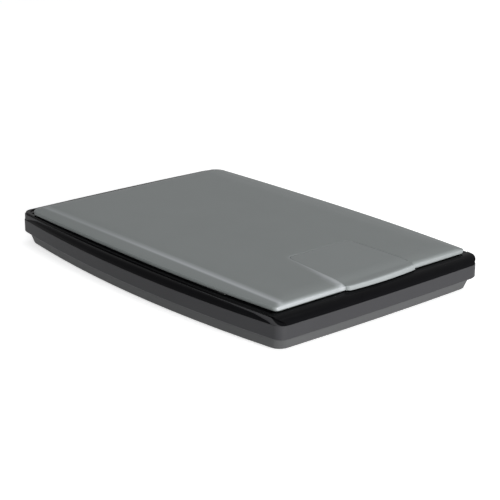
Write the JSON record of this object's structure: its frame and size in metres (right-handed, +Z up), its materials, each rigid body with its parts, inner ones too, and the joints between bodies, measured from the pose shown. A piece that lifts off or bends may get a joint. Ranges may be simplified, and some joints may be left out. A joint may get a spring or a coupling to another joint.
{
  "type": "flatbed scanner",
  "caption": "Slim flatbed scanner: bowed case with gloss fascia and side trims, hinged cover with lift tab, platen glass, and sensor carriage on a guide rod.",
  "frame": {"origin": "middle of the footprint, on the plane that the feet stand on", "axes": "+X to the right seen from the front, +Y from the front edge with the lift tab to the hinged rear edge, +Z up"},
  "size_m": [0.262, 0.3796, 0.0395],
  "materials": {
    "silver_cover": "fine satin metallic paint",
    "case_plastic": "fine satin grain",
    "tray_plastic": "satin grain",
    "gloss_black": "polished",
    "inner_black": "matt moulded",
    "platen_glass": "clear float glass",
    "white_film": "matt white film",
    "ruler_film": "printed film",
    "foot_rubber": "matt rubber",
    "plated_steel": "zinc plated",
    "circuit_board": "solder mask",
    "flex_film": "ribbon film",
    "gear_plastic": "natural acetal",
    "pinion_brass": "machined",
    "pad_white": "white film over foam"
  },
  "bodies": {
    "base": {"lower_case": "tray_plastic", "upper_case": "case_plastic", "top_frame": "gloss_black", "front_fascia": "gloss_black", "side_trim_left": "gloss_black", "side_trim_right": "gloss_black", "platen_glass": "platen_glass", "calibration_strip": "white_film", "ruler_front": "ruler_film", "ruler_side": "ruler_film", "foot_front_left": "foot_rubber", "foot_front_right": "foot_rubber", "foot_rear_left": "foot_rubber", "foot_rear_right": "foot_rubber", "case_screw_front_left": "plated_steel", "case_screw_front_right": "plated_steel", "case_screw_rear_left": "plated_steel", "case_screw_rear_right": "plated_steel", "guide_rod": "plated_steel", "rod_clamp_front": "inner_black", "rod_clamp_rear": "inner_black", "drive_rack": "inner_black", "main_board": "circuit_board", "usb_socket": "plated_steel", "flex_cable": "flex_film"},
    "lock": {"lock_slider": "inner_black"},
    "carriage": {"carriage_frame": "inner_black", "stepper_motor": "plated_steel", "sensor_spring_left": "plated_steel", "sensor_spring_right": "plated_steel"},
    "gear": {"drive_gear": "gear_plastic"},
    "pinion": {"motor_pinion": "pinion_brass"},
    "sensor": {"sensor_housing": "inner_black", "lens_row": "gloss_black", "light_guide": "white_film", "sensor_board": "circuit_board", "glide_pad_left": "gear_plastic", "glide_pad_right": "gear_plastic"},
    "hinge_posts": {"hinge_post_left": "case_plastic", "hinge_post_right": "case_plastic"},
    "cover": {"lid_shell": "silver_cover", "lift_tab": "silver_cover", "lid_liner": "case_plastic", "document_pad": "pad_white", "lid_bumper_left": "foot_rubber", "lid_bumper_right": "foot_rubber", "hinge_pin_left": "plated_steel", "hinge_pin_right": "plated_steel"}
  },
  "joints": [
    {"name": "carriage_slide", "type": "slide", "parent": "base", "child": "carriage", "axis": [0, -1, 0], "range_m": [0, 0.301], "deforming": ["flex_cable"]},
    {"name": "gear_spin", "type": "hinge", "parent": "carriage", "child": "gear", "pos_m": [0.0475, 0.1393, 0.0122], "axis": [1, 0, 0], "continuous": true},
    {"name": "pinion_spin", "type": "hinge", "parent": "carriage", "child": "pinion", "pos_m": [0.0475, 0.1302, 0.0122], "axis": [1, 0, 0], "continuous": true},
    {"name": "sensor_float", "type": "slide", "parent": "carriage", "child": "sensor", "axis": [0, 0, 1], "range_m": [-0.0015, 0], "stiffness_N_per_m": 1500, "springref_m": 0.003, "deforming": ["sensor_spring_left", "sensor_spring_right"]},
    {"name": "lock_slide", "type": "slide", "parent": "base", "child": "lock", "axis": [1, 0, 0], "range_m": [0, 0.009]},
    {"name": "hinge_lift", "type": "slide", "parent": "base", "child": "hinge_posts", "axis": [0, 0, 1], "range_m": [0, 0.012]},
    {"name": "cover_hinge", "type": "hinge", "parent": "hinge_posts", "child": "cover", "pos_m": [0, 0.1706, 0.0348], "axis": [-1, 0, 0], "range_deg": [0, 85]}
  ],
  "couplings": [
    {"joint": "gear_spin", "follows": "carriage_slide", "rad_per_m": 178.57},
    {"joint": "pinion_spin", "follows": "carriage_slide", "rad_per_m": -312.5}
  ]
}
